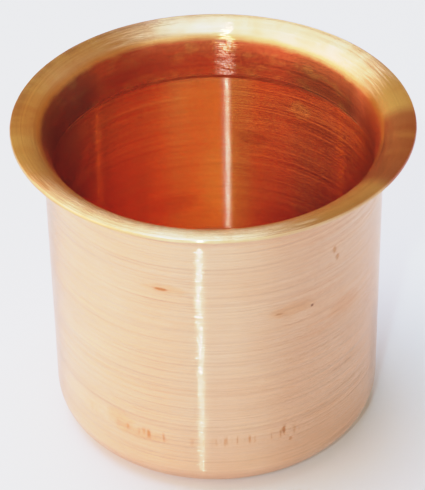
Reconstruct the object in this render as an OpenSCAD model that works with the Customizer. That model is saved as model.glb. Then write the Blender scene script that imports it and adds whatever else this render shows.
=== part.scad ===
// Small straight-walled copper water cup with a flared brass rim.
// The base pan, the wall and the rim are separate sheet pieces, brazed to each other.
// The origin is at the centre of the face that the cup stands on, with +Z up.

/* [Body] */
// Outside diameter of the straight wall
body_d = 71; // [66:0.2:76]
// Height from the standing face to the top of the flare
total_h = 72; // [60:0.5:90]
// Thickness of the sheet that every piece is spun from
sheet = 0.9; // [0.7:0.05:1.2]

/* [Rim] */
// Outside diameter of the flared lip
rim_d = 84; // [82:0.5:90]
// How far the lip turns down past level, in degrees
lip_roll = 8; // [0:1:15]
// Depth of the rim's inner skirt below the top of the flare
skirt_depth = 10.9; // [10.5:0.1:14]
// How far round the flare the wall's belled mouth reaches, in degrees
bell_angle = 30; // [20:1:40]

/* [Base] */
// Outside radius of the rounded lower corner
corner_r = 6.8; // [5:0.2:9]
// Height of the outer seam between the base pan and the wall
seam_h = 14; // [12:0.5:20]
// Height of the half-thickness lap above the outer seam
lap_h = 3; // [2:0.5:5]
// Radius of the raised middle of the base
dish_r = 17; // [12:1:20]
// Height that the middle of the base is raised
dish_rise = 1.2; // [0.6:0.1:2]

/* [Braze] */
// Height of the fillet under the rim's skirt
fillet_h = 1.3; // [0.9:0.1:1.8]
// Reach of the outer fillet along the underside of the flare, in degrees
outer_fillet_angle = 8; // [5:1:12]
// Height of the bead over the base pan's inner seam
bead_h = 2.4; // [1.6:0.2:3]
// How far that bead stands into the cup
bead_t = 0.4; // [0.2:0.05:0.5]

/* [Hidden] */

turn_fn = 240;
arc_fn = 180;
dish_fn = 720;

body_r = body_d / 2;
bore_r = body_r - sheet;
throat_r = bore_r - sheet;
lap_r = body_r - sheet / 2;
lap_top = seam_h + lap_h;
foot_r = body_r - corner_r;

// Flare: a quarter-round of sheet that runs on past its top by lip_roll and ends in a round edge.
// Its radius is kept to a hundredth, so that the straight skirt and wall meet it exactly.
flare_fit = (rim_d / 2 - throat_r - sheet / 2 * (1 - sin(lip_roll))) / (1 + sin(lip_roll));
flare_r = round(100 * flare_fit) / 100;
flare_x = throat_r + flare_r;
flare_z = total_h - flare_r;
under_r = flare_r - sheet;
bell_r = under_r - sheet;
lip_mid_r = flare_r - sheet / 2;
skirt_bottom = total_h - skirt_depth;

// Raised middle of the base: a spherical cap of radius dish_ball_r
dish_ball_r = (dish_r * dish_r + dish_rise * dish_rise) / (2 * dish_rise);
dish_z = dish_rise - dish_ball_r;

copper = [0.88, 0.65, 0.50];
brass = [0.80, 0.64, 0.36];
filler = [0.62, 0.40, 0.24];

// Filled outline of a tube that turns outwards round the flare's centre
module trumpet_outline(radius, bottom) {
    translate([flare_x - radius, bottom])
        square([radius, flare_z - bottom]);
    translate([flare_x, flare_z])
        circle(r = radius, $fn = arc_fn);
}

// Sheet of that outline: straight up from bottom, then round the flare to a given angle
module trumpet_sheet(outer, bottom, angle) {
    reach = 2 * outer;
    intersection() {
        difference() {
            trumpet_outline(outer, bottom);
            trumpet_outline(outer - sheet, bottom - 1);
        }
        translate([flare_x, flare_z])
            polygon([
                [0, bottom - flare_z],
                [-reach, bottom - flare_z],
                [-reach, 0],
                [-reach * cos(angle / 2), reach * sin(angle / 2)],
                [-reach * cos(angle), reach * sin(angle)],
                [0, 0]
            ]);
    }
}

// Filled outline of a round-cornered pan, with its corner's centre at foot_r, corner_r
module pan_outline(side_r, floor_z, round_r, top_z) {
    translate([0, floor_z])
        square([foot_r, top_z - floor_z]);
    translate([0, corner_r])
        square([side_r, top_z - corner_r]);
    translate([foot_r, corner_r])
        circle(r = round_r, $fn = arc_fn);
}

// Spherical cap that lifts the middle of the base, on the positive side only
module dish_outline(ball_r) {
    intersection() {
        translate([0, dish_z])
            circle(r = ball_r, $fn = dish_fn);
        translate([0, -corner_r])
            square([foot_r, 2 * corner_r]);
    }
}

// Copper tube: thinned outside lap at its foot, straight wall, belled mouth under the rim
module wall() {
    color(copper)
        rotate_extrude($fn = turn_fn) {
            translate([lap_r, seam_h])
                square([body_r - lap_r, lap_h + 1]);
            trumpet_sheet(under_r, lap_top, bell_angle);
        }
}

// Copper pan: raised middle, level standing ring, round corner, upstand with an inside lap
module base_pan() {
    color(copper)
        rotate_extrude($fn = turn_fn)
            difference() {
                pan_outline(body_r, 0, corner_r, lap_top);
                difference() {
                    pan_outline(bore_r, sheet, corner_r - sheet, lap_top + 1);
                    dish_outline(dish_ball_r + sheet);
                }
                dish_outline(dish_ball_r);
                translate([lap_r, seam_h])
                    square([body_r, lap_h + 1]);
            }
}

// Brass collar: skirt inside the wall's mouth, flare over it, rounded lip edge
module rim() {
    color(brass)
        rotate_extrude($fn = turn_fn) {
            trumpet_sheet(flare_r, skirt_bottom, 90 + lip_roll);
            translate([flare_x + lip_mid_r * sin(lip_roll), flare_z + lip_mid_r * cos(lip_roll)])
                circle(r = sheet / 2, $fn = arc_fn);
        }
}

// Filler metal at the rim: a fillet under the skirt, and one in the corner at the belled mouth
module rim_braze() {
    color(filler) {
        rotate_extrude($fn = turn_fn)
            polygon([
                [throat_r, skirt_bottom],
                [bore_r, skirt_bottom - fillet_h],
                [bore_r, skirt_bottom]
            ]);
        rotate_extrude($fn = turn_fn)
            translate([flare_x, flare_z])
                intersection() {
                    circle(r = under_r, $fn = arc_fn);
                    polygon([
                        [-bell_r * cos(bell_angle), bell_r * sin(bell_angle)],
                        [-2 * under_r * cos(bell_angle), 2 * under_r * sin(bell_angle)],
                        [
                            -under_r * cos(bell_angle + outer_fillet_angle),
                            under_r * sin(bell_angle + outer_fillet_angle)
                        ]
                    ]);
                }
    }
}

// Filler metal over the base pan's inner seam: a low bead with sloped edges
module base_braze() {
    color(filler)
        rotate_extrude($fn = turn_fn)
            polygon([
                [bore_r, lap_top - bead_h / 2],
                [bore_r - bead_t, lap_top - bead_h / 4],
                [bore_r - bead_t, lap_top + bead_h / 4],
                [bore_r, lap_top + bead_h / 2]
            ]);
}

wall();
base_pan();
rim();
rim_braze();
base_braze();
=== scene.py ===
"""Looks of the small copper water cup with a flared brass rim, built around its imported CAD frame."""

import math

import bpy
from mathutils import Matrix, Vector


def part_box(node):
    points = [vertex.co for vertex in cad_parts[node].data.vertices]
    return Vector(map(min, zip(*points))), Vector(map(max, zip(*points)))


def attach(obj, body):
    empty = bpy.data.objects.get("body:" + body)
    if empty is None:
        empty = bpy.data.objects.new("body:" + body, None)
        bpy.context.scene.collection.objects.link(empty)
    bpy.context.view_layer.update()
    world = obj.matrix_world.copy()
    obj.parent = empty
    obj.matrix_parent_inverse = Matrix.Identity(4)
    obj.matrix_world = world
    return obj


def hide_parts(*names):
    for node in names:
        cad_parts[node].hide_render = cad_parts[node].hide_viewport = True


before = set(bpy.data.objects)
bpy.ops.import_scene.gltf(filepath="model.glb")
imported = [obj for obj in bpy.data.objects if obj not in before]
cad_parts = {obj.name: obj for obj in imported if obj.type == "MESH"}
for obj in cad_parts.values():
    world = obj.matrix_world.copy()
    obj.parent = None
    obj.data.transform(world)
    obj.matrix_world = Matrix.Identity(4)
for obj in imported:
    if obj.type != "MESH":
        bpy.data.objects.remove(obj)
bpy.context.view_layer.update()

MM = 0.001

# ---------------------------------------------------------------- sizes

# What the frame's boxes do not give: sheet thickness, radii and angles of the pieces
SHEET = 0.9 * MM
CORNER_R = 6.8 * MM
FLARE_R = 6.95 * MM
LIP_ROLL = math.radians(8)
BELL_ANGLE = math.radians(30)
DISH_R = 17 * MM
DISH_RISE = 1.2 * MM

# The rest comes from the frame. Radii are from the axis.
BODY_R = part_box("base_pan")[1].x
BORE_R = BODY_R - SHEET
THROAT_R = BORE_R - SHEET
LAP_R = BODY_R - SHEET / 2
FOOT_R = BODY_R - CORNER_R
SEAM_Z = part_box("wall")[0].z
LAP_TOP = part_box("base_pan")[1].z
SKIRT_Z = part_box("rim")[0].z
TOP_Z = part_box("rim")[1].z

# The middle of the flare's arc
FLARE_X = THROAT_R + FLARE_R
FLARE_Z = TOP_Z - FLARE_R

# Faces round a full turn, and steps along each stretch of an outline
SEGMENTS = 360
OUTER_WALL_STEPS = 100
INNER_WALL_STEPS = 90
BELL_STEPS = 8
DISH_STEPS = 20
FLAT_STEPS = 12
OUTER_CORNER_STEPS = 24
INNER_CORNER_STEPS = 20
OUTER_UPSTAND_STEPS = 12
INNER_UPSTAND_STEPS = 16
OUTER_SKIRT_STEPS = 8
INNER_SKIRT_STEPS = 10
OUTER_FLARE_STEPS = 36
INNER_FLARE_STEPS = 44
LIP_STEPS = 12

# An outline's point nearer the axis than this is on it, and a corner sharper than this stays sharp
ON_AXIS = 1e-7
SHARP_ANGLE = math.radians(40)


# ---------------------------------------------------------------- camera

# The camera looks down at the cup from the front
VIEW_TILT = math.radians(37.08)
VIEW_ROLL = math.radians(-0.91)
VIEW_DISTANCE = 0.4792
VIEW_AIM = Vector((-0.0005, 0.0, 0.0393))
VIEW_LENS = 188.6
SENSOR = 36.0
NEAREST = 0.01


def make_camera():
    data = bpy.data.cameras.new("camera")
    data.lens = VIEW_LENS
    data.sensor_fit = "HORIZONTAL"
    data.sensor_width = SENSOR
    data.clip_start = NEAREST
    camera = bpy.data.objects.new("camera", data)
    bpy.context.scene.collection.objects.link(camera)
    back = Vector((0, -math.cos(VIEW_TILT), math.sin(VIEW_TILT)))
    turn = Matrix.Rotation(math.pi / 2 - VIEW_TILT, 4, "X") @ Matrix.Rotation(VIEW_ROLL, 4, "Z")
    camera.matrix_world = Matrix.Translation(VIEW_AIM + VIEW_DISTANCE * back) @ turn
    bpy.context.scene.camera = camera


# ---------------------------------------------------------------- lathe

def arc(centre_r, centre_z, radius, start, end, steps):
    """Points of an arc in the (r, z) plane, angles in radians from +r towards +z."""
    points = []
    for i in range(steps + 1):
        a = start + (end - start) * i / steps
        points.append((centre_r + radius * math.cos(a), centre_z + radius * math.sin(a)))
    return points


def line(start, end, steps):
    """Points of a straight run, without its first point."""
    return [
        (start[0] + (end[0] - start[0]) * i / steps, start[1] + (end[1] - start[1]) * i / steps)
        for i in range(1, steps + 1)
    ]


def lathe(name, outer, inner, closed=True):
    """Turns an outline of (r, z) points about +Z: out along its outer side, then back along its inner one.

    A closed outline makes a ring; an open one starts and ends on the axis. The point attribute "inside"
    is 1 on the inner side.
    """
    verts, faces, rows = [], [], []
    for r, z in outer + inner:
        if r < ON_AXIS:
            rows.append([len(verts)])
            verts.append((0.0, 0.0, z))
            continue
        rows.append(list(range(len(verts), len(verts) + SEGMENTS)))
        for k in range(SEGMENTS):
            a = 2 * math.pi * k / SEGMENTS
            verts.append((r * math.cos(a), r * math.sin(a), z))
    next_rows = rows[1:] + rows[:1] if closed else rows[1:]
    for low, high in zip(rows, next_rows):
        for k in range(SEGMENTS):
            n = (k + 1) % SEGMENTS
            if len(low) == 1:
                faces.append((low[0], high[n], high[k]))
            elif len(high) == 1:
                faces.append((low[k], low[n], high[0]))
            else:
                faces.append((low[k], low[n], high[n], high[k]))
    mesh = bpy.data.meshes.new(name)
    mesh.from_pydata(verts, [], faces)
    mesh.validate()
    mesh.shade_smooth()
    mesh.set_sharp_from_angle(angle=SHARP_ANGLE)
    first_inner = rows[len(outer)][0]
    inside = mesh.attributes.new("inside", "FLOAT", "POINT")
    inside.data.foreach_set("value", [float(i >= first_inner) for i in range(len(verts))])
    piece = bpy.data.objects.new(name, mesh)
    bpy.context.scene.collection.objects.link(piece)
    return piece


# ---------------------------------------------------------------- outlines of the pieces

def wall_outline():
    """A straight tube, thinned outside at its foot for the lap and belled out under the rim's flare."""
    bell_r = FLARE_R - 2 * SHEET
    under_r = FLARE_R - SHEET
    end = math.pi - BELL_ANGLE
    outer = [(LAP_R, SEAM_Z), (BODY_R, SEAM_Z)]
    outer += line((BODY_R, SEAM_Z), (BODY_R, FLARE_Z), OUTER_WALL_STEPS)
    outer += arc(FLARE_X, FLARE_Z, bell_r, math.pi, end, BELL_STEPS)[1:]
    inner = arc(FLARE_X, FLARE_Z, under_r, end, math.pi, BELL_STEPS)
    inner += line((BORE_R, FLARE_Z), (BORE_R, LAP_TOP), INNER_WALL_STEPS)
    inner += [(LAP_R, LAP_TOP)]
    return outer, inner


def pan_outline():
    """A shallow pan with a raised middle, a rounded corner and an upstand that laps inside the wall."""
    ball_r = (DISH_R ** 2 + DISH_RISE ** 2) / (2 * DISH_RISE)
    ball_z = DISH_RISE - ball_r
    outer = [(0.0, DISH_RISE)]
    for i in range(1, DISH_STEPS + 1):
        r = DISH_R * i / DISH_STEPS
        outer.append((r, ball_z + math.sqrt(ball_r ** 2 - r ** 2)))
    outer += line((DISH_R, 0), (FOOT_R, 0), FLAT_STEPS)
    outer += arc(FOOT_R, CORNER_R, CORNER_R, -math.pi / 2, 0, OUTER_CORNER_STEPS)[1:]
    outer += line((BODY_R, CORNER_R), (BODY_R, SEAM_Z), OUTER_UPSTAND_STEPS)
    outer += [(LAP_R, SEAM_Z)]
    inner = [(LAP_R, LAP_TOP), (BORE_R, LAP_TOP)]
    inner += line((BORE_R, LAP_TOP), (BORE_R, CORNER_R), INNER_UPSTAND_STEPS)
    inner += arc(FOOT_R, CORNER_R, CORNER_R - SHEET, 0, -math.pi / 2, INNER_CORNER_STEPS)[1:]
    inner += line((FOOT_R, SHEET), (DISH_R, SHEET), FLAT_STEPS)
    for i in range(DISH_STEPS - 1, -1, -1):
        r = DISH_R * i / DISH_STEPS
        inner.append((r, ball_z + math.sqrt((ball_r + SHEET) ** 2 - r ** 2)))
    return outer, inner


def rim_outline():
    """A skirt inside the wall's mouth, a flare over it, and a lip with a round edge."""
    under_r = FLARE_R - SHEET
    mid_r = FLARE_R - SHEET / 2
    end = math.pi / 2 - LIP_ROLL
    outer = [(BORE_R, SKIRT_Z)]
    outer += line((BORE_R, SKIRT_Z), (BORE_R, FLARE_Z), OUTER_SKIRT_STEPS)
    outer += arc(FLARE_X, FLARE_Z, under_r, math.pi, end, OUTER_FLARE_STEPS)[1:]
    lip_r = FLARE_X + mid_r * math.cos(end)
    lip_z = FLARE_Z + mid_r * math.sin(end)
    outer += arc(lip_r, lip_z, SHEET / 2, end - math.pi, end, LIP_STEPS)[1:-1]
    inner = arc(FLARE_X, FLARE_Z, FLARE_R, end, math.pi, INNER_FLARE_STEPS)
    inner += line((THROAT_R, FLARE_Z), (THROAT_R, SKIRT_Z), INNER_SKIRT_STEPS)
    return outer, inner


# ---------------------------------------------------------------- node helpers

# The parts of a noise's range over which things change softly
SOFT_RANGE = (0.35, 0.65)
WIDE_RANGE = (0.3, 0.7)
# Unit circle directions are found no nearer the axis than this
NEAR_AXIS = 0.5 * MM
# A spot's edge fades between these two squares of the distance from its middle, in half sizes
SPOT_CORE = 0.3
SPOT_END = 1.5


class Paint:
    """One node material, with short calls for the nodes that the metals share.

    A place is what around() returns. Every noise lies about 0.5, so its thresholds do too.
    """

    def __init__(self, name):
        self.material = bpy.data.materials.new(name)
        self.material.use_nodes = True
        self.tree = self.material.node_tree
        self.shader = self.tree.nodes["Principled BSDF"]

    def put(self, socket, value):
        if isinstance(value, bpy.types.NodeSocket):
            self.tree.links.new(value, socket)
        else:
            socket.default_value = value

    def node(self, kind, **settings):
        made = self.tree.nodes.new(kind)
        for key, value in settings.items():
            setattr(made, key, value)
        return made

    def math(self, operation, a, b=0.0):
        made = self.node("ShaderNodeMath", operation=operation)
        self.put(made.inputs[0], a)
        self.put(made.inputs[1], b)
        return made.outputs[0]

    def total(self, a, b):
        return self.math("ADD", a, b)

    def difference(self, a, b):
        return self.math("SUBTRACT", a, b)

    def product(self, first, *others):
        for other in others:
            first = self.math("MULTIPLY", first, other)
        return first

    def vector_math(self, operation, a, b=None):
        made = self.node("ShaderNodeVectorMath", operation=operation)
        self.put(made.inputs[0], a)
        if b is not None:
            self.put(made.inputs[1], b)
        return made.outputs[0]

    def vector(self, x, y, z):
        made = self.node("ShaderNodeCombineXYZ")
        for socket, v in zip(made.inputs, (x, y, z)):
            self.put(socket, v)
        return made.outputs[0]

    def grey(self, value):
        return self.vector(value, value, value)

    def noise(self, vector, detail=2.0, roughness=0.5):
        made = self.node("ShaderNodeTexNoise", noise_dimensions="3D")
        self.put(made.inputs["Vector"], vector)
        made.inputs["Scale"].default_value = 1.0
        made.inputs["Detail"].default_value = detail
        made.inputs["Roughness"].default_value = roughness
        return made.outputs[0]

    def slope(self, noise, steepness):
        """Turns a noise about 0.5 into slopes about level."""
        return self.product(self.difference(noise, 0.5), steepness)

    def spread(self, value, low, high, out_low=0.0, out_high=1.0):
        """Maps low..high smoothly to out_low..out_high."""
        made = self.node("ShaderNodeMapRange", interpolation_type="SMOOTHSTEP")
        for socket, v in zip(made.inputs, (value, low, high, out_low, out_high)):
            self.put(socket, v)
        return made.outputs[0]

    def mix(self, factor, a, b, blend="MIX"):
        made = self.node("ShaderNodeMix", data_type="RGBA", blend_type=blend)
        self.put(made.inputs[0], factor)
        self.put(made.inputs[6], a)
        self.put(made.inputs[7], b)
        return made.outputs[2]

    def between(self, factor, a, b):
        """The number a where the factor is 0, b where it is 1."""
        return self.total(a, self.product(factor, b - a))

    def attribute(self, name):
        return self.node("ShaderNodeAttribute", attribute_name=name).outputs["Fac"]

    def around(self):
        """The place on the turned surface: unit circle x and y, radius, height."""
        split = self.node("ShaderNodeSeparateXYZ")
        self.put(split.inputs[0], self.node("ShaderNodeTexCoord").outputs["Object"])
        x, y, z = split.outputs
        radius = self.math("SQRT", self.total(self.product(x, x), self.product(y, y)))
        safe = self.math("MAXIMUM", radius, NEAR_AXIS)
        return self.math("DIVIDE", x, safe), self.math("DIVIDE", y, safe), radius, z

    def towards(self, place, azimuth):
        """How far a place faces an azimuth, 1 to -1. Azimuth 0 is in front and turns towards +X."""
        a = math.radians(azimuth)
        return self.difference(self.product(place[0], math.sin(a)), self.product(place[1], math.cos(a)))

    def sector(self, place, azimuth, starts, full):
        """1 about an azimuth, 0 away from it. It starts and is full where towards() has these values."""
        return self.spread(self.towards(place, azimuth), starts, full)

    def spot(self, place, ragged, azimuth, height, wide, tall):
        """1 in a ragged patch on the turned wall, 0 outside; sizes are half sizes in metres."""
        turn = 2 * (BODY_R / wide) ** 2
        across = self.product(self.difference(1.0, self.towards(place, azimuth)), turn)
        up = self.product(self.difference(place[3], height), 1 / tall)
        away = self.total(across, self.product(up, up))
        return self.spread(self.total(away, ragged), SPOT_CORE, SPOT_END, 1.0, 0.0)


def turned(paint, place, along, around):
    """A coordinate for marks that run round the cup.

    along is marks per metre of radius plus height, and around is marks per radian.
    """
    ux, uy, radius, z = place
    profile = paint.total(radius, z)
    return paint.vector(paint.product(ux, around), paint.product(uy, around), paint.product(profile, along))


def mottled(paint, place, up, around):
    """A coordinate for blotches on an upright surface: up per metre of height, around per radian."""
    ux, uy, radius, z = place
    return paint.vector(paint.product(ux, around), paint.product(uy, around), paint.product(z, up))


def shaded(paint, colour, marks, depth):
    """The colour, darker by up to depth where marks are low and lighter by a little where they are high."""
    shade = paint.spread(marks, *WIDE_RANGE, 1.0 - depth, 1.0 + depth / 2)
    return paint.mix(1.0, colour, paint.grey(shade), "MULTIPLY")


def stained(paint, colour, mask, tint):
    """The colour times the tint where the mask is 1."""
    return paint.mix(mask, colour, paint.mix(1.0, colour, (*tint, 1), "MULTIPLY"))


def marked(paint, place, ragged, colour, marks):
    """The colour with a table of ragged marks on it."""
    for azimuth, height, wide, tall, tint in marks:
        mark = paint.spot(place, ragged, azimuth, height * MM, wide * MM, tall * MM)
        colour = stained(paint, colour, mark, tint)
    return colour


def tinted(paint, place, colour, sectors):
    """The colour with a table of tinted sectors on it."""
    for azimuth, starts, full, tint in sectors:
        colour = stained(paint, colour, paint.sector(place, azimuth, starts, full), tint)
    return colour


# ---------------------------------------------------------------- turned metal

# Every sector below is an azimuth in degrees, and the values of Paint.towards where it starts and is full.
# Every noise below is its marks per metre and per radian, as in turned() or mottled().
FINE_LINES = (150000, 0.9)
SEEN_LINES = (3600, 0.3)

# How steeply the fine and the seen lines tip the surface along its profile
STEEP = 4.4
SEEN_STEEP = 0.06
# How far the lines waver from running straight round
WAVER = 0.16


def brushed(paint, place, colour, slope, roughness, across):
    """Bare metal whose turning lines spread each reflection up and down, and hardly at all round the cup.

    The lines run round the cup, so slope tips the surface along its profile; across tips it round the cup.
    """
    shader = paint.shader
    paint.put(shader.inputs["Base Color"], colour)
    paint.put(shader.inputs["Metallic"], 1.0)
    paint.put(shader.inputs["Roughness"], roughness)
    shader.inputs["Anisotropic"].default_value = 1.0
    shader.inputs["Anisotropic Rotation"].default_value = 0.25
    tangent = paint.node("ShaderNodeTangent", direction_type="RADIAL", axis="Z")
    paint.put(shader.inputs["Tangent"], tangent.outputs[0])
    normal = paint.node("ShaderNodeNewGeometry").outputs["Normal"]
    round_cup = paint.vector(paint.product(place[1], -1.0), place[0], 0.0)
    profile = paint.vector_math("CROSS_PRODUCT", normal, round_cup)
    tipped = paint.vector_math("ADD", normal, paint.vector_math("MULTIPLY", profile, paint.grey(slope)))
    tipped = paint.vector_math("ADD", tipped, paint.vector_math("MULTIPLY", round_cup, paint.grey(across)))
    paint.put(shader.inputs["Normal"], paint.vector_math("NORMALIZE", tipped))
    return paint.material


# ---------------------------------------------------------------- copper of the wall and the base pan

COPPER = (0.935, 0.553, 0.338, 1)
COPPER_PALE = (0.935, 0.585, 0.375, 1)
PATINA_RED = (0.87, 0.197, 0.036, 1)
PATINA_ORANGE = (0.89, 0.262, 0.052, 1)
PATINA_GOLD = (0.86, 0.455, 0.115, 1)

# Noises that run round the cup
COPPER_THIN_LINES = (3000, 0.5)
COPPER_COARSE_LINES = (700, 1.1)
COPPER_CLOUDS = (60, 1.6)
COPPER_RAGGED = (900, 22)
COPPER_WAVER = (2400, 14)

# How much darker the seen lines are, and the coarse ones inside
COPPER_SHADE = 0.03
PATINA_SHADE = 0.04

# How far noise pushes the edge of a mark in or out
RAGGED = 2.4

# Roughness where the seen lines are low and high, and how much more the inside has
COPPER_ROUGHNESS = (0.09, 0.13)
INSIDE_ROUGHER = 0.05

# The lines are shallower on the oxidised inside
INSIDE_STEEP = 0.82 * STEEP
INSIDE_SEEN_STEEP = SEEN_STEEP / 4
INSIDE_WAVER = WAVER / 4

THIN_LINE_TINT = (0.92, 0.90, 0.89)

# A faintly darker band round the foot, painted shade for the shaded floor that the rounded corner reflects:
# where it starts, is deepest and ends
FOOT_SHADE_BAND = (4 * MM, 8 * MM, 11 * MM)
FOOT_SHADE_TINT = (1.0, 0.985, 0.965)

# The lower right of the wall is darker, with deeper lines and, at its right edge, painted shade for the
# shaded floor it reflects: both fade out between two heights
LOW_BAND = (26 * MM, 36 * MM)
DEEP_LINE_SECTOR = (62, 0.90, 0.99)
DEEP_LINE_TINT = (0.80, 0.72, 0.66)
RIGHT_EDGE_SHADE_SECTOR = (84, 0.95, 0.99)
RIGHT_EDGE_SHADE_TINT = (0.78, 0.74, 0.70)

# Tarnish on the outside of the wall: azimuth in degrees, height, half width and half height in mm, tint
WALL_MARKS = (
    (-18.2, 54.0, 1.3, 0.35, (0.70, 0.48, 0.30)),
    (-16.5, 54.1, 4.5, 1.2, (0.97, 0.90, 0.80)),
    (42.6, 57.4, 0.5, 0.9, (0.80, 0.62, 0.42)),
    (44.0, 55.2, 0.5, 0.8, (0.80, 0.62, 0.42)),
    (33.3, 46.1, 0.32, 0.32, (0.35, 0.20, 0.15)),
    (21.3, 46.6, 0.9, 0.25, (0.72, 0.58, 0.46)),
    (26.0, 46.8, 5.5, 1.5, (0.96, 0.88, 0.78)),
    (48.0, 41.5, 5.0, 2.2, (0.96, 0.88, 0.80)),
    (-35.5, 15.8, 3.4, 2.4, (0.98, 0.91, 0.82)),
    (-28.0, 13.6, 6.0, 1.6, (0.97, 0.90, 0.80)),
    (23.0, 15.2, 0.45, 1.3, (0.70, 0.50, 0.34)),
    (25.5, 12.0, 0.4, 0.5, (0.80, 0.62, 0.46)),
)

# Heat stain along the base seam: its middle's height over the seam, and how far from there it fades out
SMUDGE_LIFT = 0.3 * MM
SMUDGE_FADE = (0.3 * MM, 1.9 * MM)
SMUDGE_SECTOR = (-10, 0.70, 0.85)
# The smudges, the groups of them per radian, and which pattern of groups is taken
SMUDGE_TICKS = (90, 42)
SMUDGE_GROUPS = 5
SMUDGE_SEED = 3.7
SMUDGE_TINT = (0.84, 0.64, 0.44)

# Marks on the oxidised inside, as on the wall
PATINA_MARKS = (
    (184.0, 54.0, 5.5, 4.5, (1.0, 0.96, 0.80)),
    (176.0, 33.0, 6.5, 10.0, (1.02, 1.25, 1.4)),
    (156.0, 23.0, 5.0, 3.0, (0.92, 0.82, 0.82)),
    (165.0, 44.0, 3.5, 2.0, (0.86, 0.78, 0.80)),
    (146.0, 54.5, 2.6, 2.2, (1.05, 1.6, 1.6)),
    (196.0, 26.0, 5.5, 3.0, (0.90, 0.72, 0.75)),
)

# Where the oxidised inside is golden, and how much
GOLD_SECTOR = (182, 0.94, 1.0)
GOLD_SHARE = 0.9

# Where else it changes colour round the cup: sectors and tints
PATINA_TINTS = (
    (140, 0.88, 0.98, (0.88, 0.76, 0.94)),
    (-100, 0.88, 0.98, (0.58, 0.74, 1.3)),
)

# A small pale ring on the inside: azimuth in degrees, height, then its outer and inner half sizes
RING_AZIMUTH = -132.5
RING_Z = 52.0 * MM
RING_OUTER = (1.5 * MM, 1.7 * MM)
RING_INNER = (0.9 * MM, 1.1 * MM)
RING_TINT = (1.1, 1.7, 2.6)

# Painted highlight: where the inside and the throat are paler along the lamp's streak
STREAK_HIGHLIGHT_SECTOR = (175, 0.9990, 1.0)
THROAT_HIGHLIGHT_SECTOR = (175, 0.9965, 1.0)
STREAK_HIGHLIGHT_TINT = (1.03, 1.08, 2.7)

# Painted shade below the rim's skirt, at the left of the back
SHADE_DEPTH = 5.5 * MM
SHADE_RAGGED = 0.5 * MM
SHADE_SECTOR = (-152, 0.72, 0.97)
SHADE_TINT = (0.84, 0.66, 0.66)


def seam_smudges(paint, place):
    """Short upright smudges of heat stain along the braze seam in front, with gaps between them."""
    ux, uy, radius, z = place
    ticks = paint.noise(mottled(paint, place, *SMUDGE_TICKS), detail=2.0)
    group_x, group_y = paint.product(ux, SMUDGE_GROUPS), paint.product(uy, SMUDGE_GROUPS)
    groups = paint.noise(paint.vector(group_x, group_y, SMUDGE_SEED), detail=1.0)
    away = paint.math("ABSOLUTE", paint.difference(z, SEAM_Z + SMUDGE_LIFT))
    return paint.product(
        paint.spread(ticks, 0.52, 0.64),
        paint.spread(groups, 0.42, 0.6),
        paint.spread(away, *SMUDGE_FADE, 1, 0),
        paint.sector(place, *SMUDGE_SECTOR),
    )


def bare_copper(paint, place, soft, coarse, ragged):
    """The outside: pale copper with thin dark lines and a few tarnish marks, and painted shade round the
    foot and at the lower right edge.
    """
    z = place[3]
    colour = paint.mix(soft, COPPER, COPPER_PALE)
    # Painted shade round the foot, for the shaded floor that the rounded corner reflects
    starts, deepest, ends = FOOT_SHADE_BAND
    foot = paint.product(paint.spread(z, starts, deepest), paint.spread(z, ends, deepest))
    colour = stained(paint, colour, foot, FOOT_SHADE_TINT)
    colour = marked(paint, place, ragged, colour, WALL_MARKS)
    colour = stained(paint, colour, seam_smudges(paint, place), SMUDGE_TINT)
    thin = paint.spread(paint.noise(turned(paint, place, *COPPER_THIN_LINES), detail=1.0), 0.48, 0.34)
    colour = stained(paint, colour, thin, THIN_LINE_TINT)
    low = paint.spread(z, *LOW_BAND, 1.0, 0.0)
    deep = paint.product(paint.sector(place, *DEEP_LINE_SECTOR), paint.spread(coarse, 0.42, 0.30), low)
    colour = stained(paint, colour, deep, DEEP_LINE_TINT)
    # Painted shade at the lower right edge, for the shaded floor that it reflects
    edge = paint.product(paint.sector(place, *RIGHT_EDGE_SHADE_SECTOR), low)
    return stained(paint, colour, edge, RIGHT_EDGE_SHADE_TINT)


def patina(paint, place, soft, coarse, ragged):
    """The inside: oxidised, golden in the middle of the back and red at its sides, with a painted highlight
    along the lamp's streak and painted shade under the skirt at the back left.
    """
    colour = paint.mix(soft, PATINA_RED, PATINA_ORANGE)
    golden = paint.product(paint.sector(place, *GOLD_SECTOR), GOLD_SHARE)
    colour = paint.mix(golden, colour, PATINA_GOLD)
    colour = tinted(paint, place, colour, PATINA_TINTS)
    colour = shaded(paint, colour, coarse, PATINA_SHADE)
    colour = marked(paint, place, ragged, colour, PATINA_MARKS)
    disc = paint.spot(place, 0.0, RING_AZIMUTH, RING_Z, *RING_OUTER)
    hole = paint.spot(place, 0.0, RING_AZIMUTH, RING_Z, *RING_INNER)
    colour = stained(paint, colour, paint.product(disc, paint.difference(1.0, hole)), RING_TINT)
    # Painted highlight: a paler line along the lamp's streak
    colour = stained(paint, colour, paint.sector(place, *STREAK_HIGHLIGHT_SECTOR), STREAK_HIGHLIGHT_TINT)
    # Painted shade under the rim's skirt
    ragged_z = paint.total(place[3], paint.product(ragged, SHADE_RAGGED))
    below_skirt = paint.spread(ragged_z, SKIRT_Z - SHADE_DEPTH, SKIRT_Z)
    shade = paint.product(below_skirt, paint.sector(place, *SHADE_SECTOR))
    return stained(paint, colour, shade, SHADE_TINT)


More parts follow.
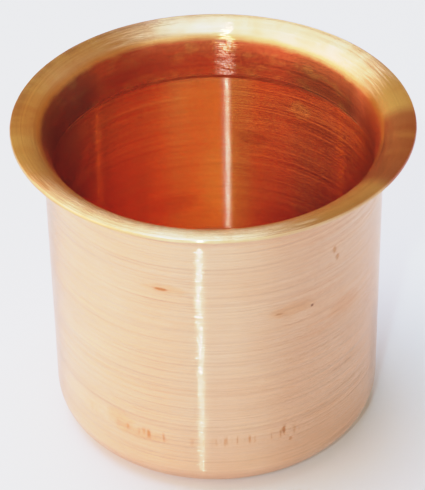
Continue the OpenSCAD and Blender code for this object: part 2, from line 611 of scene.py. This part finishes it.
def copper_metal():
    paint = Paint("copper")
    place = paint.around()
    inside = paint.attribute("inside")
    fine = paint.noise(turned(paint, place, *FINE_LINES), detail=0.0)
    lines = paint.noise(turned(paint, place, *SEEN_LINES), detail=3.0, roughness=0.6)
    coarse = paint.noise(turned(paint, place, *COPPER_COARSE_LINES), detail=2.0)
    cloud = paint.noise(turned(paint, place, *COPPER_CLOUDS), detail=3.0)
    ragged = paint.slope(paint.noise(turned(paint, place, *COPPER_RAGGED), detail=3.0), RAGGED)
    soft = paint.spread(cloud, *SOFT_RANGE)

    outside_colour = bare_copper(paint, place, soft, coarse, ragged)
    inside_colour = patina(paint, place, soft, coarse, ragged)
    colour = shaded(paint, paint.mix(inside, outside_colour, inside_colour), lines, COPPER_SHADE)
    streaks = paint.spread(lines, *SOFT_RANGE, *COPPER_ROUGHNESS)
    roughness = paint.total(streaks, paint.product(inside, INSIDE_ROUGHER))
    seen = paint.slope(lines, paint.between(inside, SEEN_STEEP, INSIDE_SEEN_STEEP))
    slope = paint.total(paint.slope(fine, paint.between(inside, STEEP, INSIDE_STEEP)), seen)
    waver = paint.noise(turned(paint, place, *COPPER_WAVER), detail=2.0)
    across = paint.slope(waver, paint.between(inside, WAVER, INSIDE_WAVER))
    return brushed(paint, place, colour, slope, roughness, across)


# ---------------------------------------------------------------- brass of the rim

BRASS = (0.93, 0.62, 0.32, 1)
BRASS_PALE = (0.95, 0.68, 0.38, 1)
THROAT_RED = (0.56, 0.104, 0.030, 1)
THROAT_ORANGE = (0.60, 0.175, 0.046, 1)
THROAT_RIGHT = (0.82, 0.23, 0.085, 1)
THROAT_HIGHLIGHT = (0.86, 0.46, 0.36, 1)
AMBER = (0.82, 0.40, 0.12, 1)

# Blotches
BRASS_CLOUDS = (160, 3.2)
BRASS_BLOTS = (420, 9)
BRASS_SPECKS = (1900, 60)
# Noises that run round the cup
BRASS_RINGS = (1500, 0.25)
BRASS_WAVER = (3000, 6)

# How much darker the seen lines are
BRASS_SHADE = 0.05

# Roughness where the seen lines are low and high, and how much more the throat has
BRASS_ROUGHNESS = (0.14, 0.20)
THROAT_ROUGHER = 0.05

# How steep the fine lines are on the flare and in the throat, and how much more they waver in the throat
RIM_STEEP = 0.6 * STEEP
THROAT_STEEP = 0.75 * STEEP
THROAT_WAVER = 0.14

BROWN_TINT = (0.94, 0.84, 0.76)
SPECK_TINT = (0.72, 0.58, 0.50)
RINGS_TINT = (0.84, 0.76, 0.68)

# The brown part at the right
BROWN_SECTOR = (74, 0.92, 0.965)
BROWN_SECTOR_TINT = (0.62, 0.335, 0.37)

# Faint differences of colour round the polished rim: sectors and tints
RIM_TINTS = (
    (35, 0.82, 0.975, (0.87, 0.78, 0.70)),
    (-38, 0.90, 0.975, (0.98, 0.82, 0.68)),
    (150, 0.84, 0.975, (1.0, 0.95, 0.87)),
)

# A browner left side, and a browner outer part of the lip at the back left
LEFT_SECTOR = (-112, 0.80, 0.97)
LEFT_TINT = (0.97, 0.84, 0.77)
LIP_SECTOR = (-130, 0.6, 0.9)
LIP_R = 39.2 * MM
LIP_FADE = 1.5 * MM
LIP_TINT = (0.76, 0.68, 0.72)

# Differences of colour round the throat: sectors and tints
THROAT_TINTS = (
    (128, 0.90, 0.98, (0.64, 0.86, 0.82)),
    (-106, 0.86, 0.97, (0.66, 0.80, 1.2)),
)
THROAT_RIGHT_SECTOR = (96, 0.91, 0.985)
THROAT_SPECK_TINT = (0.91, 0.85, 0.85)
THROAT_RAGGED = 0.6 * MM

# A lighter band just over the skirt's lower edge, at the back
SKIRT_BAND = (3.6 * MM, 0.8 * MM)
SKIRT_BAND_SECTOR = (-170, 0.7, 0.95)
SKIRT_BAND_TINT = (1.12, 1.30, 1.10)

# The painted highlight on the throat, along the lamp's streak, fades between two heights over the skirt's
# lower edge
THROAT_HIGHLIGHT_BAND = (3 * MM, 5 * MM)

# Where the polished flare gives way to the dull throat. It lies lower in front and at the right.
THROAT_TOP_Z = FLARE_Z + FLARE_R * math.sin(math.radians(42))
LOWER_AT_RIGHT = 0.6 * MM
LOWER_IN_FRONT = 1.0 * MM
AMBER_FADE = 1.1 * MM
DULL_FADE = (-0.9 * MM, 0.2 * MM)


def polished_brass(paint, place, cloud, blot, speck):
    """The polished flare, with soft brown patches."""
    colour = paint.mix(paint.spread(cloud, *SOFT_RANGE), BRASS, BRASS_PALE)
    brown = paint.product(paint.spread(cloud, 0.60, 0.42), paint.spread(blot, *WIDE_RANGE))
    colour = stained(paint, colour, brown, BROWN_TINT)
    colour = stained(paint, colour, paint.spread(speck, 0.72, 0.78), SPECK_TINT)
    rings = paint.noise(turned(paint, place, *BRASS_RINGS), detail=2.0)
    colour = stained(paint, colour, paint.spread(rings, 0.40, 0.30), RINGS_TINT)
    right = paint.product(paint.sector(place, *BROWN_SECTOR), paint.spread(cloud, 0.05, 0.4))
    colour = stained(paint, colour, right, BROWN_SECTOR_TINT)
    colour = tinted(paint, place, colour, RIM_TINTS)
    patchy = paint.spread(blot, 0.2, 0.6)
    left = paint.product(paint.sector(place, *LEFT_SECTOR), patchy)
    colour = stained(paint, colour, left, LEFT_TINT)
    outer = paint.spread(place[2], LIP_R, LIP_R + LIP_FADE)
    lip = paint.product(paint.sector(place, *LIP_SECTOR), outer, patchy)
    return stained(paint, colour, lip, LIP_TINT)


def dull_brass(paint, place, ragged_z, blot, speck):
    """The throat: dark red with lighter blots, and paler in a painted highlight along the lamp's streak."""
    colour = paint.mix(paint.spread(blot, 0.48, 0.68), THROAT_RED, THROAT_ORANGE)
    colour = stained(paint, colour, paint.spread(speck, 0.54, 0.36), THROAT_SPECK_TINT)
    colour = tinted(paint, place, colour, THROAT_TINTS)
    colour = paint.mix(paint.sector(place, *THROAT_RIGHT_SECTOR), colour, THROAT_RIGHT)
    high, low = SKIRT_BAND
    band = paint.product(
        paint.spread(ragged_z, SKIRT_Z + high, SKIRT_Z + low),
        paint.sector(place, *SKIRT_BAND_SECTOR),
    )
    colour = stained(paint, colour, band, SKIRT_BAND_TINT)
    # Painted highlight where the lamp's streak crosses the throat
    low, high = THROAT_HIGHLIGHT_BAND
    streak_highlight = paint.product(
        paint.sector(place, *THROAT_HIGHLIGHT_SECTOR),
        paint.spread(speck, 0.34, 0.58),
        paint.spread(place[3], SKIRT_Z + low, SKIRT_Z + high, 0.85, 0.30),
    )
    return paint.mix(streak_highlight, colour, THROAT_HIGHLIGHT)


def brass_metal():
    paint = Paint("brass")
    place = paint.around()
    ux, uy, radius, z = place
    inner = paint.attribute("inside")
    fine = paint.noise(turned(paint, place, *FINE_LINES), detail=0.0)
    lines = paint.noise(turned(paint, place, *SEEN_LINES), detail=3.0, roughness=0.6)
    cloud = paint.noise(mottled(paint, place, *BRASS_CLOUDS), detail=3.0)
    blot = paint.noise(mottled(paint, place, *BRASS_BLOTS), detail=3.0)
    speck = paint.noise(mottled(paint, place, *BRASS_SPECKS), detail=3.0)

    # How high a place counts as lying on the flare, and where the throat's metal starts
    ragged_z = paint.total(z, paint.slope(blot, THROAT_RAGGED))
    front = paint.math("MAXIMUM", paint.product(uy, -1.0), 0.0)
    shift = paint.total(paint.product(ux, LOWER_AT_RIGHT), paint.product(front, LOWER_IN_FRONT))
    level = paint.total(ragged_z, shift)
    amber = paint.product(inner, paint.spread(level, THROAT_TOP_Z, THROAT_TOP_Z + AMBER_FADE, 1.0, 0.0))
    full, starts = (THROAT_TOP_Z + fade for fade in DULL_FADE)
    throat = paint.product(inner, paint.spread(level, full, starts, 1.0, 0.0))

    polished = paint.mix(amber, polished_brass(paint, place, cloud, blot, speck), AMBER)
    dull = dull_brass(paint, place, ragged_z, blot, speck)
    colour = shaded(paint, paint.mix(throat, polished, dull), lines, BRASS_SHADE)
    streaks = paint.spread(lines, *SOFT_RANGE, *BRASS_ROUGHNESS)
    roughness = paint.total(streaks, paint.product(throat, THROAT_ROUGHER))
    steep = paint.between(throat, RIM_STEEP, THROAT_STEEP)
    slope = paint.total(paint.slope(fine, steep), paint.slope(lines, SEEN_STEEP))
    waver = paint.noise(turned(paint, place, *BRASS_WAVER), detail=2.0)
    across = paint.total(paint.slope(waver, WAVER), paint.product(paint.slope(waver, THROAT_WAVER), throat))
    return brushed(paint, place, colour, slope, roughness, across)


# ---------------------------------------------------------------- filler of the brazed joints

FILLER_DARK = (0.70, 0.16, 0.04, 1)
FILLER_LIGHT = (0.88, 0.26, 0.07, 1)
FILLER_GRAIN = (1500, 12)
FILLER_ROUGHNESS = (0.55, 0.75)


def filler_metal():
    """Rough filler metal with a fine grain."""
    paint = Paint("filler")
    grain = paint.noise(turned(paint, paint.around(), *FILLER_GRAIN), detail=3.0, roughness=0.6)
    colour = paint.mix(paint.spread(grain, *SOFT_RANGE), FILLER_DARK, FILLER_LIGHT)
    paint.put(paint.shader.inputs["Base Color"], colour)
    paint.put(paint.shader.inputs["Metallic"], 1.0)
    paint.put(paint.shader.inputs["Roughness"], paint.spread(grain, *WIDE_RANGE, *FILLER_ROUGHNESS))
    paint.put(paint.shader.inputs["Normal"], paint.node("ShaderNodeNewGeometry").outputs["True Normal"])
    return paint.material


# ---------------------------------------------------------------- build

def build(name, outline, closed, node, material):
    piece = lathe(name, *outline, closed)
    piece.data.materials.append(material)
    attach(piece, "root")
    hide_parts(node)
    return piece


make_camera()

copper = copper_metal()
brass = brass_metal()
filler = filler_metal()

build("copper_wall", wall_outline(), True, "wall", copper)
build("copper_base_pan", pan_outline(), False, "base_pan", copper)
build("brass_rim", rim_outline(), True, "rim", brass)
for node in ("rim_braze", "base_braze"):
    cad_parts[node].data.materials.clear()
    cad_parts[node].data.materials.append(filler)


# ---------------------------------------------------------------- studio

# The floor lies a hair below the foot, so that the two faces do not coincide
FLOOR_Z = -0.02 * MM
FLOOR_REACH = 4.0
FLOOR_COLOUR = (0.87, 0.885, 0.90, 1)

# The small lamp in front: azimuth and elevation in degrees, distance and radius in metres, watts
LAMP_AZIMUTH = -11
LAMP_ELEVATION = 42
LAMP_DISTANCE = 1.2
LAMP_R = 0.02
LAMP_POWER = 11.0
LAMP_COLOUR = (0.55, 0.86, 1.0)

# The middle of the overhead softbox, a little left of straight up and behind it
SOFTBOX_AIM = (-0.24, 0.24, 0.94)

# The tone curve's lowest and highest points, and the points between them, for a white of 2
WHITE = 2
DARKEST = (0, 0.008)
BRIGHTEST = (1, 0.965)
TONES = ((0.25, 0.5), (0.36, 0.68), (0.5, 0.81), (0.68, 0.865))


def make_floor():
    mesh = bpy.data.meshes.new("floor")
    corners = [(x * FLOOR_REACH, y * FLOOR_REACH, FLOOR_Z) for x, y in ((-1, -1), (1, -1), (1, 1), (-1, 1))]
    mesh.from_pydata(corners, [], [(0, 1, 2, 3)])
    floor = bpy.data.objects.new("floor", mesh)
    bpy.context.scene.collection.objects.link(floor)
    material = bpy.data.materials.new("floor")
    material.use_nodes = True
    shader = material.node_tree.nodes["Principled BSDF"]
    shader.inputs["Base Color"].default_value = FLOOR_COLOUR
    shader.inputs["Roughness"].default_value = 0.7
    mesh.materials.append(material)


def make_lamp():
    """A small lamp on a sphere about the cup's middle. Azimuth 0 is in front and turns towards +X."""
    a, e = math.radians(LAMP_AZIMUTH), math.radians(LAMP_ELEVATION)
    place = Vector((math.sin(a) * math.cos(e), -math.cos(a) * math.cos(e), math.sin(e))) * LAMP_DISTANCE
    data = bpy.data.lights.new("lamp", "POINT")
    data.energy = LAMP_POWER
    data.color = LAMP_COLOUR
    data.shadow_soft_size = LAMP_R
    lamp = bpy.data.objects.new("lamp", data)
    lamp.location = Vector((0, 0, TOP_Z / 2)) + place
    bpy.context.scene.collection.objects.link(lamp)


def make_world(softbox, ceiling, left, front, low_front, right, behind_left, behind_right):
    """A round softbox overhead, a ceiling, a bright left side, a dim front and right, a warm backdrop."""
    world = bpy.data.worlds.new("studio")
    world.use_nodes = True
    tree = world.node_tree
    background = tree.nodes["Background"]
    split = tree.nodes.new("ShaderNodeSeparateXYZ")
    place = tree.nodes.new("ShaderNodeTexCoord")
    tree.links.new(place.outputs["Generated"], split.inputs[0])
    facing = tree.nodes.new("ShaderNodeVectorMath")
    facing.operation = "DOT_PRODUCT"
    tree.links.new(place.outputs["Generated"], facing.inputs[0])
    facing.inputs[1].default_value = SOFTBOX_AIM
    x, y, z = split.outputs

    def blend(along, low, high, under, over):
        """Fades from one colour to another while a part of the direction goes from low to high."""
        edge = tree.nodes.new("ShaderNodeMapRange")
        edge.interpolation_type = "SMOOTHSTEP"
        edge.inputs["From Min"].default_value = low
        edge.inputs["From Max"].default_value = high
        tree.links.new(along, edge.inputs["Value"])
        mix = tree.nodes.new("ShaderNodeMix")
        mix.data_type = "RGBA"
        tree.links.new(edge.outputs[0], mix.inputs[0])
        for socket, colour in ((mix.inputs[6], under), (mix.inputs[7], over)):
            if isinstance(colour, tuple):
                socket.default_value = (*colour, 1)
            else:
                tree.links.new(colour, socket)
        return mix.outputs[2]

    ahead = blend(z, 0.05, 0.3, low_front, front)
    behind = blend(x, -0.5, 0.5, behind_left, behind_right)
    room = blend(x, -0.9, 0.0, left, ahead)
    room = blend(x, 0.35, 0.9, room, right)
    room = blend(y, 0.3, 0.65, room, behind)
    room = blend(z, 0.55, 0.75, room, ceiling)
    room = blend(facing.outputs["Value"], 0.85, 0.93, room, softbox)
    tree.links.new(room, background.inputs["Color"])
    bpy.context.scene.world = world


def make_tone():
    """Bright tones run out softly towards a pale grey, and a little stray light lifts the darkest ones."""
    view = bpy.context.scene.view_settings
    view.view_transform = "Standard"
    view.use_curve_mapping = True
    tones = view.curve_mapping
    tones.white_level = (WHITE, WHITE, WHITE)
    curve = tones.curves[3]
    curve.points[0].location = DARKEST
    curve.points[1].location = BRIGHTEST
    for x, y in TONES:
        curve.points.new(x, y)
    tones.update()


make_floor()
make_world(
    softbox=(2.62, 3.5, 4.9),
    ceiling=(0.42, 0.26, 0.12),
    left=(3.0, 2.15, 1.9),
    front=(0.92, 1.06, 1.04),
    low_front=(1.5, 1.75, 1.75),
    right=(0.60, 0.50, 0.40),
    behind_left=(0.64, 0.47, 0.18),
    behind_right=(0.47, 0.28, 0.105),
)
make_lamp()
make_tone()

# Light goes back and forth inside the cup many times
scene = bpy.context.scene
scene.cycles.glossy_bounces = 14
scene.cycles.max_bounces = 16
